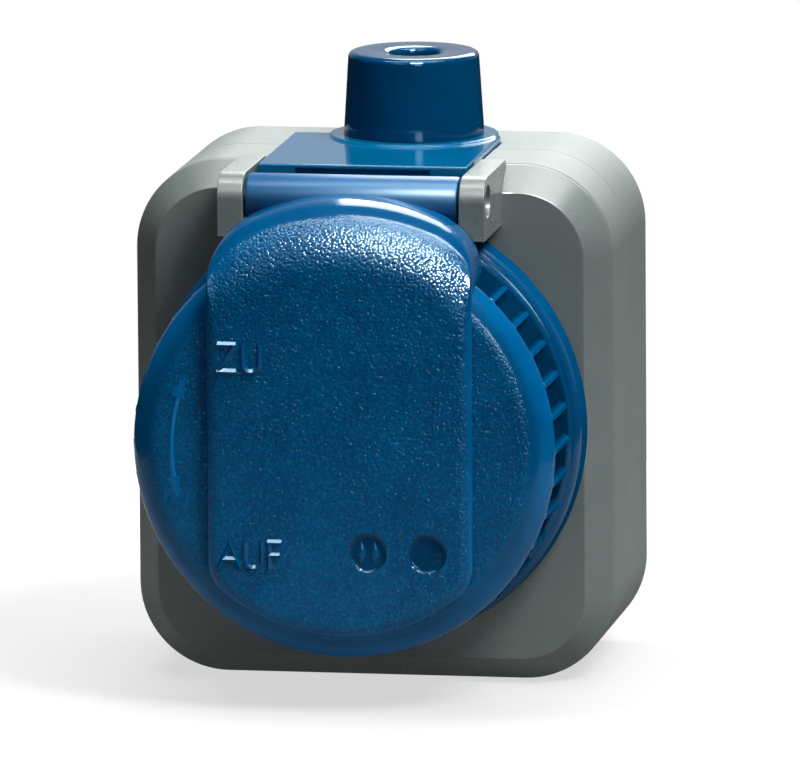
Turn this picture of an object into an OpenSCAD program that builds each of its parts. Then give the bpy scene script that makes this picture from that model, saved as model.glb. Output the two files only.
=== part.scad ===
// Surface-mounted weatherproof socket outlet with a screw-down hinged lid.
// Frame: +X right, +Z up, the wall is the plane y = 0 and the lid faces -Y.
// Every piece is drawn as seen from the front: x right, y up, z out from the wall.

/* [Housing] */
// Width of the housing
box_w = 75; // [73:0.5:90]
// Height of the housing
box_h = 81; // [79:0.5:96]
// Outer corner radius of the housing
box_corner_r = 14; // [12:0.5:16]
// How far the middle of the housing lies below the socket's axis
box_drop = 0.4; // [0:0.1:1]
// Wall thickness of box and cover
box_wall = 2.2; // [1.8:0.1:3]
// Thickness of the box floor on the wall side
box_floor = 2.5; // [2:0.1:4]
// Thickness of the cover's front wall
cover_wall = 2.5; // [2:0.1:3]
// Distance of the parting line from the wall
split_depth = 18.4; // [16:0.1:22]
// Distance of the bevel's outer edge from the wall
rim_depth = 34; // [32:0.1:40]
// How far the flat face stands in front of the bevel's outer edge
bevel_rise = 4.5; // [3:0.1:6]
// Width of the bevel round the flat face
bevel_w = 3.75; // [2.5:0.05:5]
// Width of the fine groove behind the bevel
rim_groove_w = 0.7; // [0.4:0.1:1.2]
// Depth of the fine grooves in the sides
rim_groove_d = 0.4; // [0.2:0.1:0.8]

/* [Socket] */
// Radius of the plug recess
recess_r = 19.75; // [19:0.05:20.5]
// Depth of the plug recess
recess_depth = 17.5; // [16:0.1:19]
// Wall of the insert round the recess
insert_wall = 2.25; // [1.8:0.05:3]
// Floor of the insert
insert_floor = 3; // [2:0.1:4]
// Distance between the two pin holes
pin_spacing = 19; // [18:0.1:20]
// Radius of a pin hole
pin_hole_r = 2.7; // [2.5:0.05:3]
// Wall of the collar round the insert
collar_wall = 1.7; // [1.4:0.1:2.2]
// Height of the collar above the flat face
collar_rise = 6; // [5:0.1:7]
// Width of the earth clips
earth_clip_w = 6.5; // [5:0.1:8]
// Thickness of the contact strips
strip_t = 0.8; // [0.5:0.1:1.2]

/* [Hinge] */
// Distance of the hinge axis from the flat face
hinge_reach = 12.4; // [11.5:0.1:14]
// Depth of the hinge axis below the top of the housing
hinge_drop = 3.1; // [2.8:0.1:3.6]
// Clear width between the two hinge lugs
lug_gap = 33.8; // [28:0.1:38]
// Width of one hinge lug
lug_w = 4; // [3:0.1:6]
// Nose radius of a hinge lug
lug_nose_r = 3.9; // [3.5:0.1:4.4]
// How far a lug reaches down below the hinge axis
lug_reach = 5.8; // [4.5:0.1:6.2]
// Radius of the lid's hinge barrel
barrel_r = 3.7; // [3.2:0.1:4]
// Radius of the hinge pin
hinge_pin_r = 2; // [1.5:0.05:2.4]

/* [Locking ring] */
// Radius of the ribbed band
band_r = 32.2; // [30:0.1:34]
// How far the rear flange stands out from the band
flange_lip = 2.2; // [1.4:0.1:2.8]
// Thickness of the rear flange
flange_t = 6.3; // [4:0.1:8]
// How far the front shoulder and the ribs stand out from the band
shoulder_lip = 1; // [0.4:0.1:1.4]
// Rounding of the front shoulder
shoulder_round = 5; // [3:0.1:6]
// Wall of the skirt behind the band
skirt_wall = 2.2; // [1.6:0.1:3]
// Overall depth of the ring
ring_depth = 26; // [24:0.1:30]
// Thickness of the ring's front wall
ring_front_t = 3; // [2:0.1:4]
// Number of grip ribs
rib_count = 40; // [12:1:60]
// Width of a grip rib
rib_w = 1.1; // [0.5:0.1:1.6]
// Distance between the ribs and the rear flange
rib_clear = 3.7; // [1:0.1:6]
// Number of degrees from open to locked
lock_turn = 40; // [30:1:50]
// Width of a bayonet tab in degrees
tab_angle = 20; // [14:1:24]

/* [Strap] */
// Width of the raised strap
strap_w = 41.4; // [38:0.1:44]
// Wall of the hood that the strap lays over the ring's shoulder
hood_wall = 4.4; // [3.5:0.1:5]
// Radius of the round that bends the strap's head back to the hood
head_round = 10.5; // [8:0.1:11]
// Radius of the strap's bottom edge
strap_bottom_r = 29; // [27:0.1:30]
// Rounding of the strap's two upper corners
strap_top_round = 9.5; // [6:0.5:11]
// Rounding of the strap's two lower corners
strap_bottom_round = 6.5; // [3:0.5:8]
// How far the strap stands in front of the ring
strap_rise = 2; // [1.2:0.1:3]
// Rounding of the strap's front edge
strap_edge = 1.5; // [0.6:0.1:1.6]
// Radius of the pivot boss behind the strap
boss_r = 8; // [6:0.1:10]

/* [Cable entry] */
// Thickness of the entry plate
plate_t = 2.4; // [1.8:0.1:3]
// How far the plate stands above the top of the housing
plate_proud = 1; // [0.6:0.1:1.4]
// Gap between the plate and a hinge lug
plate_gap = 0.5; // [0.2:0.1:1]
// How far the plate reaches in front of the flat face
plate_overhang = 5.6; // [3:0.1:6]
// Distance of the plate's straight rear edge from the wall
plate_rear = 11.6; // [8:0.1:14]
// Offset of the gland to the right of the middle
gland_x = 2.8; // [-3:0.1:3]
// Distance of the gland's axis from the wall
gland_depth = 12.6; // [12:0.1:15]
// Radius of the gland at its base
gland_base_r = 11; // [10.5:0.1:11.4]
// Radius of the gland at its top
gland_top_r = 10.2; // [9:0.1:10.4]
// Height of the gland
gland_h = 13; // [11:0.1:16]
// Radius of the seat under the gland
gland_seat_r = 13.2; // [12.4:0.1:13.6]
// Height of the seat under the gland
gland_seat_t = 0.4; // [0.2:0.1:1.2]
// Distance of the seat's flat rear side from the wall
gland_seat_rear = 1.3; // [1:0.1:1.6]
// Radius of the cable hole in the gland
cable_hole_r = 4.1; // [3.8:0.1:5]
// Radius of the hole in the rubber seal
seal_hole_r = 3.6; // [3:0.1:3.7]

/* [Fixings] */
// Distance between the two wall screws
wall_screw_spacing = 54; // [50:0.5:56]
// Radius of a wall screw hole
wall_screw_r = 2.25; // [1.8:0.05:2.5]
// Distance of a cover screw from the middle, sideways and up
cover_screw_offset = 20.2; // [19.8:0.1:20.6]
// Radius of a machine screw shank
screw_r = 1.5; // [1.2:0.05:1.8]
// Radius of a machine screw head
screw_head_r = 2.9; // [2.4:0.05:3.1]
// Height of a machine screw head
screw_head_h = 1.8; // [1.4:0.1:2]

/* [Clearances] */
// Radial running clearance on the hinge pin and the pivot boss
running_gap = 0.05; // [0.02:0.01:0.08]
// Gap between pieces that move past each other
free_gap = 0.3; // [0.25:0.05:0.5]
// Gap between the ring's rear and the flat face
ring_gap = 0.5; // [0.3:0.1:1]
// Gap round pieces that are let into each other
seat_gap = 0.15; // [0.05:0.05:0.25]

/* [Hidden] */
$fn = 64;

// Overlap that joins pieces of one moulding
eps = 0.01;
// Overshoot of a cutting tool past the surface it cuts
past = 1;

// Depths from the wall
face_depth = rim_depth + bevel_rise;
collar_depth = face_depth + collar_rise;
ring_rear = face_depth + ring_gap;
ring_front = ring_rear + ring_depth;
strap_rear = ring_front + free_gap;
strap_front = ring_front + strap_rise;
hinge_depth = face_depth + hinge_reach;
cavity_depth = face_depth - cover_wall;
recess_floor_depth = collar_depth - recess_depth;
insert_rear = recess_floor_depth - insert_floor;

// Housing
box_top = box_h / 2 - box_drop;
bevel_inset = box_wall + bevel_w;
gasket_w = 1;
gasket_h = 1.2;
gasket_inset = 0.6;
column_r = screw_head_r + 1.5;
column_bore_floor = box_floor + 1;
cover_screws_at = [[-cover_screw_offset, cover_screw_offset], [cover_screw_offset, -cover_screw_offset]];
wall_screws_at = [-wall_screw_spacing / 2, wall_screw_spacing / 2];

// Locking ring
flange_r = band_r + flange_lip;
shoulder_r = band_r + shoulder_lip;
skirt_r = band_r - skirt_wall;
rib_rear = ring_rear + flange_t + rib_clear;
ring_inner_front = ring_front - ring_front_t;
boss_hole_r = boss_r + running_gap;
rib_root = 0.5;
rib_sink = 0.02;
rib_pitch = 360 / rib_count;

// Hinge: below the top of the housing, and high enough for the barrel to clear the ribs
barrel_gap = 0.1;
hinge_y = max(box_top - hinge_drop, shoulder_r + barrel_r + barrel_gap);
lug_inner = lug_gap / 2;
lug_outer = lug_inner + lug_w;
lug_front = hinge_depth + lug_nose_r;
pin_recess_r = hinge_pin_r + 0.5;
pin_recess_d = 1;
barrel_len = lug_gap - 2 * free_gap;

// Socket and collar
insert_r = recess_r + insert_wall;
collar_in_r = insert_r + free_gap;
collar_out_r = collar_in_r + collar_wall;
slot_reach = 2;
slot_depth = recess_depth - 3;

// Bayonet: the lugs stand on the collar, the tabs inside the ring's skirt
tab_t = 2.2;
lug_t = 2;
lug_share = 0.4;
tab_r = collar_out_r + 1;
lug_r = tab_r + lug_share * (skirt_r - tab_r);
bayonet_rest = [0, 220];
tab_front = collar_depth - lug_t - free_gap;

// Hood of the strap, over the ring's shoulder, and the web down from the barrel
hood_in_r = shoulder_r + 2 * free_gap;
strap_top_r = hood_in_r + hood_wall;
hood_rear = lug_front + ring_gap;
web_floor = max(shoulder_r + ring_gap, hinge_y - barrel_r);
edge_steps = [[0, 1], [0.3, 0.4], [1, 0]];
head_crest = 0.4;
head_reach = 0.5;
head_centre = [strap_top_r + head_reach - head_round, strap_front + head_crest - head_round];

// Lid inside
seal_t = 1.7;
seal_front = collar_depth + free_gap;
seal_in_r = insert_r - 0.7;
seal_out_r = collar_out_r + 1.2;
seal_plate_r = collar_out_r + 1.8;
seal_plate_t = 2.5;
seal_plate_front = seal_front + seal_t;
hub_r = boss_r + 3;
hub_front = ring_inner_front - free_gap;
pivot_screw_r = 2;
pivot_head_r = 4;
pivot_head_h = 2;
pivot_seat = seal_plate_front + pivot_head_h + 0.5;
pivot_end = strap_rear - 0.5;

// Cable entry
plate_top = box_top + plate_proud;
plate_bottom = plate_top - plate_t;
plate_front = face_depth + plate_overhang;
plate_half = lug_inner - plate_gap;
plate_notch_w = 21;
plate_notch_d = 0.8;
gland_seat_top = plate_top + gland_seat_t;
gland_wall = 2.2;
gland_round = 1;
spigot_wall = 1.8;
spigot_r = gland_top_r - gland_wall - 0.4;
spigot_in_r = spigot_r - spigot_wall;
spigot_h = 6.5;
foot_r = 9.7;
foot_bottom = plate_bottom - box_wall - 1.6;
seal_rim_t = 3;
seal_bottom = gland_seat_top + 1;
seal_top = gland_seat_top + gland_h - gland_wall;

// Contacts and terminals
carrier_r = insert_r - 0.5;
carrier_rear = 8.5;
carrier_front = insert_rear;
earth_strip_z = carrier_front - strip_t - 0.5;
earth_arm_y = insert_r - 0.2;
earth_nose_y = recess_r - 1.2;
earth_tip_z = insert_rear + recess_depth - 5;
earth_bend = 2.6;
earth_nose_w = 0.8;
earth_screw_y = 11;
earth_screw_bore = carrier_rear + 3;
earth_screw_head_h = 0.45;
centre_bore = carrier_rear + 4;
pocket_r = 4.2;
sleeve_r = 3.5;
sleeve_in_r = 2.4;
sleeve_slit_w = 0.8;
sleeve_rear = carrier_rear + 3.2;
sleeve_front = carrier_front - 0.5;
terminal_w = 7;
terminal_h = 7;
terminal_y = -11.6;
terminal_front = carrier_front - 3.4;
terminal_rear = sleeve_rear;
terminal_screw_r = 1.5;
terminal_head_r = 2.4;
terminal_head_h = 1.5;
terminal_screw_len = 5;
wire_z = (terminal_rear + terminal_front) / 2 - 1;
wire_r = 1.6;
wire_entry_r = 2;
clamp_t = 1;
clamp_inset = 1;
carrier_screw_x = 14.8;
carrier_screw_y = 10;
carrier_screw_seat = carrier_front - screw_head_h - 1;
insert_screw_seat = recess_floor_depth - screw_head_h;
post_r = 3.2;
tip_gap = 0.5;
drive_slot_w = 0.8;
drive_slot_share = 0.5;

grey = [0.52, 0.55, 0.55];
blue = [0.02, 0.3, 0.5];
ivory = [0.88, 0.87, 0.82];
brown = [0.3, 0.22, 0.17];
rubber = [0.1, 0.1, 0.1];
brass = [0.8, 0.66, 0.34];
steel = [0.72, 0.73, 0.74];

// Turns a piece drawn as seen from the front into the part's frame
module from_wall() {
    rotate([90, 0, 0]) children();
}

module rounded_rect(w, h, r) {
    square([w - 2 * r, h], center = true);
    square([w, h - 2 * r], center = true);
    for (sx = [-1, 1], sy = [-1, 1]) {
        translate([sx * (w / 2 - r), sy * (h / 2 - r)]) circle(r);
    }
}

module rounded_block(w, h, r, from, to) {
    translate([0, -box_drop, from]) linear_extrude(to - from) rounded_rect(w, h, r);
}

module rounded_frame(w, h, r, wall, from, to) {
    difference() {
        rounded_block(w, h, r, from, to);
        rounded_block(w - 2 * wall, h - 2 * wall, r - wall, from - past, to + past);
    }
}

module disc(r, from, to) {
    translate([0, 0, from]) cylinder(r = r, h = to - from);
}

module ring_band(r_in, r_out, from, to) {
    difference() {
        disc(r_out, from, to);
        disc(r_in, from - past, to + past);
    }
}

// Part of a ring, centred on an angle that counts up from +X as seen from the front
module ring_sector(r_in, r_out, from, to, middle, angle) {
    rotate([0, 0, middle - angle / 2]) rotate_extrude(angle = angle)
        translate([r_in, from]) square([r_out - r_in, to - from]);
}

// Upright cylinder at a distance from the wall
module upright_disc(x, depth, r, from, to) {
    translate([x, from, depth]) rotate([-90, 0, 0]) cylinder(r = r, h = to - from);
}

// Cylinder along the hinge axis
module hinge_rod(r, length) {
    translate([0, hinge_y, hinge_depth]) rotate([0, 90, 0]) cylinder(r = r, h = length, center = true);
}

// Rounded block whose front edge is cut back by a bevel
module bevelled_block(w, h, r, from) {
    translate([0, -box_drop, 0]) {
        for (sx = [-1, 1], sy = [-1, 1]) {
            translate([sx * (w / 2 - r), sy * (h / 2 - r), 0]) rotate_extrude() polygon([
                [0, from], [r, from], [r, rim_depth], [r - bevel_w, face_depth], [0, face_depth]
            ]);
        }
        rotate([90, 0, 0]) linear_extrude(h - 2 * r, center = true) bevel_section(w / 2, from);
        rotate([90, 0, 90]) linear_extrude(w - 2 * r, center = true) bevel_section(h / 2, from);
    }
}

module bevel_section(half, from) {
    polygon([
        [-half, from], [half, from], [half, rim_depth], [half - bevel_w, face_depth],
        [bevel_w - half, face_depth], [-half, rim_depth]
    ]);
}

// Seat under the gland, flat on the wall side
module gland_seat(grow, from, to) {
    intersection() {
        upright_disc(gland_x, gland_depth, gland_seat_r + grow, from, to);
        translate([-box_w / 2, 0, gland_seat_rear - grow]) cube([box_w, box_h, rim_depth]);
    }
}

// Opening in the top walls for the entry plate, its seat and the foot of the gland
module entry_cut() {
    half = plate_half + seat_gap;
    translate([-half, plate_bottom, plate_rear]) cube([2 * half, plate_t + past, face_depth]);
    gland_seat(seat_gap, plate_bottom, plate_top + past);
    upright_disc(gland_x, gland_depth, foot_r + seat_gap, foot_bottom - past, plate_bottom + past);
}

module wall_box() {
    color(grey) from_wall() difference() {
        union() {
            difference() {
                rounded_block(box_w, box_h, box_corner_r, 0, split_depth);
                rounded_block(box_w - 2 * box_wall, box_h - 2 * box_wall, box_corner_r - box_wall,
                    box_floor, split_depth + past);
            }
            for (at = cover_screws_at) {
                translate(at) disc(column_r, box_floor - eps, split_depth);
            }
            for (sx = [-1, 1]) {
                translate([sx * carrier_screw_x, carrier_screw_y])
                    disc(post_r, box_floor - eps, carrier_rear);
            }
        }
        rounded_frame(box_w - 2 * gasket_inset, box_h - 2 * gasket_inset, box_corner_r - gasket_inset,
            gasket_w, split_depth - gasket_h, split_depth + past);
        entry_cut();
        for (y = wall_screws_at) {
            translate([0, y]) disc(wall_screw_r, -past, box_floor + past);
        }
        for (at = cover_screws_at) {
            translate(at) disc(screw_r, column_bore_floor, split_depth + past);
        }
        for (sx = [-1, 1]) {
            translate([sx * carrier_screw_x, carrier_screw_y]) disc(screw_r, box_floor, carrier_rear + past);
        }
    }
}

// One hinge lug: a rounded nose round the pin, carried forward from the top of the cover
module hinge_lug(side) {
    translate([side * (lug_inner + lug_w / 2) - lug_w / 2, 0, 0]) {
        translate([0, hinge_y, hinge_depth]) rotate([0, 90, 0]) cylinder(r = lug_nose_r, h = lug_w);
        translate([0, hinge_y - lug_reach, cavity_depth]) cube([lug_w, lug_reach, lug_front - cavity_depth]);
        translate([0, hinge_y - eps, rim_depth]) cube([lug_w, lug_nose_r + eps, hinge_depth - rim_depth]);
    }
}

module front_cover() {
    color(grey) from_wall() difference() {
        union() {
            difference() {
                bevelled_block(box_w, box_h, box_corner_r, split_depth);
                rounded_block(box_w - 2 * box_wall, box_h - 2 * box_wall, box_corner_r - box_wall,
                    split_depth - past, rim_depth - past);
                rounded_block(box_w - 2 * bevel_inset, box_h - 2 * bevel_inset, box_corner_r - bevel_inset,
                    rim_depth - 2 * past, cavity_depth);
                rounded_frame(box_w + 2 * past, box_h + 2 * past, box_corner_r + past, past + rim_groove_d,
                    rim_depth - 2 * rim_groove_w, rim_depth - rim_groove_w);
            }
            ring_band(collar_in_r, collar_out_r, cavity_depth, collar_depth);
            for (a = bayonet_rest) {
                ring_sector(collar_out_r - eps, lug_r, collar_depth - lug_t, collar_depth,
                    a - lock_turn, tab_angle);
            }
            for (side = [-1, 1]) {
                hinge_lug(side);
            }
            for (at = cover_screws_at) {
                translate(at) disc(column_r, split_depth, cavity_depth + eps);
            }
        }
        disc(collar_in_r, split_depth, collar_depth + past);
        entry_cut();
        for (at = cover_screws_at) {
            translate(at) disc(screw_r + seat_gap, split_depth - past, face_depth + past);
            translate(at) disc(screw_head_r + free_gap, cavity_depth, face_depth + past);
        }
        hinge_rod(hinge_pin_r, 2 * lug_outer);
        for (side = [-1, 1]) {
            translate([side * lug_outer, 0, 0]) hinge_rod(pin_recess_r, 2 * pin_recess_d);
        }
    }
}

module box_gasket() {
    color(rubber) from_wall() difference() {
        rounded_frame(box_w - 2 * gasket_inset, box_h - 2 * gasket_inset, box_corner_r - gasket_inset,
            gasket_w, split_depth - gasket_h, split_depth);
        entry_cut();
    }
}

module cable_entry_plate() {
    color(blue) from_wall() difference() {
        union() {
            translate([-plate_half, plate_bottom, plate_rear + seat_gap])
                cube([2 * plate_half, plate_t, plate_front - plate_rear - seat_gap]);
            gland_seat(0, plate_bottom, gland_seat_top);
            upright_disc(gland_x, gland_depth, foot_r, foot_bottom, plate_bottom + eps);
            upright_disc(gland_x, gland_depth, spigot_r, gland_seat_top - eps, gland_seat_top + spigot_h);
        }
        upright_disc(gland_x, gland_depth, spigot_in_r, foot_bottom - past, gland_seat_top + spigot_h + past);
        translate([-plate_notch_w / 2, plate_bottom - past, plate_front - plate_notch_d])
            cube([plate_notch_w, plate_t - plate_notch_d + past, plate_notch_d + past]);
    }
}

// Turned section of the gland, measured up from its seat
module gland_section() {
    slope = (gland_base_r - gland_top_r) / gland_h;
    round_at = [gland_top_r + slope * gland_round - gland_round, gland_h - gland_round];
    difference() {
        union() {
            polygon([
                [0, 0], [gland_base_r, 0], round_at + [gland_round, 0],
                round_at + [0, gland_round], [0, gland_h]
            ]);
            translate(round_at) circle(gland_round);
        }
        translate([-past, -past])
            square([spigot_r + seat_gap + past, gland_h - gland_wall - seal_rim_t + past]);
        translate([-past, -past]) square([spigot_in_r + seat_gap + past, gland_h - gland_wall + past]);
        translate([-past, -past]) square([cable_hole_r + past, gland_h + 2 * past]);
    }
}

module gland_cap() {
    color(blue) from_wall() translate([gland_x, gland_seat_top, gland_depth]) rotate([-90, 0, 0])
        rotate_extrude() gland_section();
}

module gland_seal() {
    color(rubber) from_wall() difference() {
        upright_disc(gland_x, gland_depth, spigot_in_r - seat_gap, seal_bottom, seal_top);
        upright_disc(gland_x, gland_depth, seal_hole_r, seal_bottom - past, seal_top + past);
    }
}

module hinge_pin() {
    color(steel) from_wall() hinge_rod(hinge_pin_r, 2 * (lug_outer - pin_recess_d));
}

// Room for an earth clip in the wall of the insert
module earth_slot() {
    translate([-earth_clip_w / 2 - free_gap, recess_r - slot_reach, insert_rear - past])
        cube([earth_clip_w + 2 * free_gap, insert_wall + slot_reach + past, slot_depth]);
}

module socket_insert() {
    color(ivory) from_wall() difference() {
        disc(insert_r, insert_rear, collar_depth - seat_gap);
        disc(recess_r, recess_floor_depth, collar_depth + past);
        for (sx = [-1, 1]) {
            translate([sx * pin_spacing / 2, 0])
                disc(pin_hole_r, insert_rear - past, recess_floor_depth + past);
        }
        for (side = [0, 1]) {
            mirror([0, side, 0]) earth_slot();
        }
        disc(screw_r + seat_gap, insert_rear - past, recess_floor_depth + past);
        disc(screw_head_r + seat_gap, insert_screw_seat, recess_floor_depth + past);
    }
}

module contact_carrier() {
    half_w = terminal_w / 2 + seat_gap;
    half_h = terminal_h / 2 + seat_gap;
    color(brown) from_wall() difference() {
        disc(carrier_r, carrier_rear, carrier_front);
        translate([-earth_clip_w / 2 - seat_gap, -insert_r, earth_strip_z])
            cube([earth_clip_w + 2 * seat_gap, 2 * insert_r, strip_t + past]);
        disc(screw_r, centre_bore, carrier_front + past);
        translate([0, earth_screw_y]) disc(terminal_screw_r, earth_screw_bore, carrier_front + past);
        for (sx = [-1, 1]) {
            translate([sx * pin_spacing / 2, 0]) disc(pocket_r, sleeve_rear, carrier_front + past);
            translate([sx * pin_spacing / 2 - half_w, terminal_y - half_h, terminal_rear])
                cube([2 * half_w, half_h - terminal_y, carrier_front - terminal_rear + past]);
            translate([sx * pin_spacing / 2, terminal_y, wire_z])
                rotate([90, 0, 0]) cylinder(r = wire_entry_r, h = carrier_r);
            translate([sx * carrier_screw_x, carrier_screw_y]) {
                disc(screw_r + seat_gap, carrier_rear - past, carrier_front + past);
                disc(screw_head_r + seat_gap, carrier_screw_seat, carrier_front + past);
            }
        }
    }
}

// Earth clip in depth and height: an arm that bends inwards to a nose
module earth_clip_section() {
    low = earth_arm_y - strip_t;
    nose = earth_tip_z - earth_bend;
    bend = nose - earth_nose_w - earth_bend;
    translate([earth_strip_z, low]) square([bend - earth_strip_z, strip_t]);
    polygon([
        [bend, low], [nose - earth_nose_w, earth_nose_y], [nose, earth_nose_y], [earth_tip_z, low],
        [earth_tip_z, earth_arm_y], [nose, earth_nose_y + strip_t],
        [nose - earth_nose_w, earth_nose_y + strip_t], [bend, earth_arm_y]
    ]);
}

module earth_bracket() {
    color(brass) from_wall() difference() {
        union() {
            translate([-earth_clip_w / 2, -earth_arm_y, earth_strip_z])
                cube([earth_clip_w, 2 * earth_arm_y, strip_t]);
            for (side = [0, 1]) {
                mirror([0, side, 0]) rotate([0, 90, 0]) mirror([1, 0, 0])
                    linear_extrude(earth_clip_w, center = true) earth_clip_section();
            }
        }
        disc(screw_r + seat_gap, earth_strip_z - past, earth_strip_z + strip_t + past);
        translate([0, earth_screw_y])
            disc(terminal_screw_r + seat_gap, earth_strip_z - past, earth_strip_z + strip_t + past);
    }
}

// Sleeve for one plug pin, with the terminal block that it is riveted to
module pin_contact(side) {
    color(brass) from_wall() translate([side * pin_spacing / 2, 0, 0]) difference() {
        union() {
            ring_band(sleeve_in_r, sleeve_r, sleeve_rear, sleeve_front);
            translate([-terminal_w / 2, terminal_y, terminal_rear])
                cube([terminal_w, -terminal_y - sleeve_in_r, strip_t]);
            translate([-terminal_w / 2, terminal_y - terminal_h / 2, terminal_rear])
                cube([terminal_w, terminal_h, terminal_front - terminal_rear]);
        }
        translate([-sleeve_slit_w / 2, 0, sleeve_rear + clamp_t])
            cube([sleeve_slit_w, sleeve_r + past, sleeve_front - sleeve_rear]);
        translate([0, terminal_y]) disc(terminal_screw_r, terminal_rear + strip_t, terminal_front + past);
        translate([0, terminal_y + terminal_h, wire_z]) rotate([90, 0, 0])
            cylinder(r = wire_r, h = 2 * terminal_h);
    }
}

module live_contact() {
    pin_contact(-1);
}

module neutral_contact() {
    pin_contact(1);
}

module terminal_clamps() {
    w = terminal_w - 2 * clamp_inset;
    h = terminal_h - 2 * clamp_inset;
    color(steel) from_wall() {
        for (sx = [-1, 1]) {
            translate([sx * pin_spacing / 2, terminal_y, terminal_front]) difference() {
                translate([-w / 2, -h / 2, 0]) cube([w, h, clamp_t]);
                disc(terminal_screw_r + seat_gap, -past, clamp_t + past);
            }
        }
    }
}

// Slotted cheese-head screw whose head stands on the seat, its shank running to the wall side
module machine_screw(at, seat, length, r, head_r, head_h) {
    translate([at[0], at[1], seat]) difference() {
        union() {
            disc(r, -length, eps);
            disc(head_r, 0, head_h);
        }
        translate([-head_r - past, -drive_slot_w / 2, head_h * drive_slot_share])
            cube([2 * (head_r + past), drive_slot_w, head_h]);
    }
}

module terminal_screws() {
    earth_seat = earth_strip_z + strip_t;
    color(steel) from_wall() {
        for (sx = [-1, 1]) {
            machine_screw([sx * pin_spacing / 2, terminal_y], terminal_front + clamp_t, terminal_screw_len,
                terminal_screw_r, terminal_head_r, terminal_head_h);
        }
        machine_screw([0, earth_screw_y], earth_seat, earth_seat - earth_screw_bore - tip_gap,
            terminal_screw_r, terminal_head_r, earth_screw_head_h);
    }
}

module carrier_screws() {
    color(steel) from_wall() {
        for (sx = [-1, 1]) {
            machine_screw([sx * carrier_screw_x, carrier_screw_y], carrier_screw_seat,
                carrier_screw_seat - box_floor - tip_gap, screw_r, screw_head_r, screw_head_h);
        }
    }
}

module insert_screw() {
    color(steel) from_wall()
        machine_screw([0, 0], insert_screw_seat, insert_screw_seat - centre_bore - tip_gap,
            screw_r, screw_head_r, screw_head_h);
}

module cover_screws() {
    color(steel) from_wall() {
        for (at = cover_screws_at) {
            machine_screw(at, cavity_depth, cavity_depth - column_bore_floor - tip_gap,
                screw_r, screw_head_r, screw_head_h);
        }
    }
}

// One end of the strap's outline: an arc of radius r with a round of radius c at either side
module strap_end(half, r, c) {
    corner = [half - c, sqrt(pow(r - c, 2) - pow(half - c, 2))];
    arc_x = corner[0] * r / (r - c);
    intersection() {
        circle(r);
        translate([-arc_x, 0]) square([2 * arc_x, r]);
    }
    translate([-half, 0]) square([2 * half, corner[1]]);
    for (sx = [-1, 1]) {
        translate([sx * corner[0], corner[1]]) circle(c);
    }
}

// Outline of the strap as seen from the front
module strap_outline(inset) {
    half = strap_w / 2 - inset;
    strap_end(half, strap_top_r - inset, strap_top_round - inset);
    mirror([0, 1]) strap_end(half, strap_bottom_r - inset, strap_bottom_round - inset);
}

// Plate whose front edge steps back in a round
module strap_plate() {
    for (step = edge_steps) {
        translate([0, 0, strap_rear]) linear_extrude(strap_front - step[1] * strap_edge - strap_rear)
            strap_outline(step[0] * strap_edge);
    }
}

// Hood that carries the top of the strap back over the ring's shoulder
module strap_hood() {
    difference() {
        translate([0, 0, hood_rear]) linear_extrude(strap_rear + eps - hood_rear) strap_outline(0);
        disc(hood_in_r, hood_rear - past, strap_rear);
    }
}

// Cutter that rounds the strap's head from its front face back to the hood
module head_cut() {
    rotate_extrude() translate(head_centre) difference() {
        square(head_round + 2 * past);
        circle(head_round);
    }
}

module lid_strap() {
    web_rear = hinge_depth - barrel_r;
    color(blue) from_wall() difference() {
        union() {
            strap_plate();
            strap_hood();
            hinge_rod(barrel_r, barrel_len);
            translate([-barrel_len / 2, web_floor, web_rear])
                cube([barrel_len, hinge_y - web_floor, hood_rear + past - web_rear]);
            disc(boss_r, hub_front, strap_rear + eps);
        }
        head_cut();
        hinge_rod(hinge_pin_r + running_gap, lug_gap);
        disc(pivot_screw_r, hub_front - past, pivot_end);
    }
}

// Outline of the ring in radius and depth, with its front edge rounded
module ring_outline(r) {
    round_at = [r - shoulder_round, ring_front - shoulder_round];
    translate([0, ring_rear]) square([r, round_at[1] - ring_rear]);
    translate([0, ring_rear]) square([round_at[0], ring_depth]);
    translate(round_at) circle(shoulder_round);
}

// Turned section of the locking ring: the band runs out on the shoulder's round
module ring_section() {
    difference() {
        union() {
            translate([0, ring_rear]) square([flange_r, flange_t]);
            intersection() {
                ring_outline(shoulder_r);
                translate([0, ring_rear]) square([band_r, ring_depth]);
            }
        }
        translate([-past, ring_rear - past]) square([skirt_r + past, ring_inner_front - ring_rear + past]);
        translate([-past, ring_rear]) square([boss_hole_r + past, ring_depth + past]);
    }
}

// Grip rib: a bar rooted in the band, which ends on the shoulder's round
module grip_rib() {
    rotate([90, 0, 0]) linear_extrude(rib_w, center = true) intersection() {
        ring_outline(shoulder_r - rib_sink);
        translate([band_r - rib_root, rib_rear]) square([shoulder_lip + rib_root, ring_front - rib_rear]);
    }
}

module locking_ring() {
    color(blue) from_wall() {
        rotate_extrude() ring_section();
        for (i = [0 : rib_count - 1]) {
            rotate([0, 0, i * rib_pitch]) grip_rib();
        }
        for (a = bayonet_rest) {
            ring_sector(tab_r, skirt_r + eps, tab_front - tab_t, tab_front, a, tab_angle);
        }
    }
}

module seal_plate() {
    color(ivory) from_wall() difference() {
        union() {
            disc(seal_plate_r, seal_plate_front, seal_plate_front + seal_plate_t);
            disc(hub_r, seal_plate_front, hub_front);
        }
        disc(pivot_screw_r + seat_gap, seal_plate_front - past, hub_front + past);
        disc(pivot_head_r + free_gap, seal_plate_front - past, pivot_seat);
    }
}

module lid_seal() {
    color(rubber) from_wall() ring_band(seal_in_r, seal_out_r, seal_front, seal_plate_front);
}

module pivot_screw() {
    color(steel) from_wall() mirror([0, 0, 1])
        machine_screw([0, 0], -pivot_seat, pivot_end - tip_gap - pivot_seat,
            pivot_screw_r, pivot_head_r, pivot_head_h);
}

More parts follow.
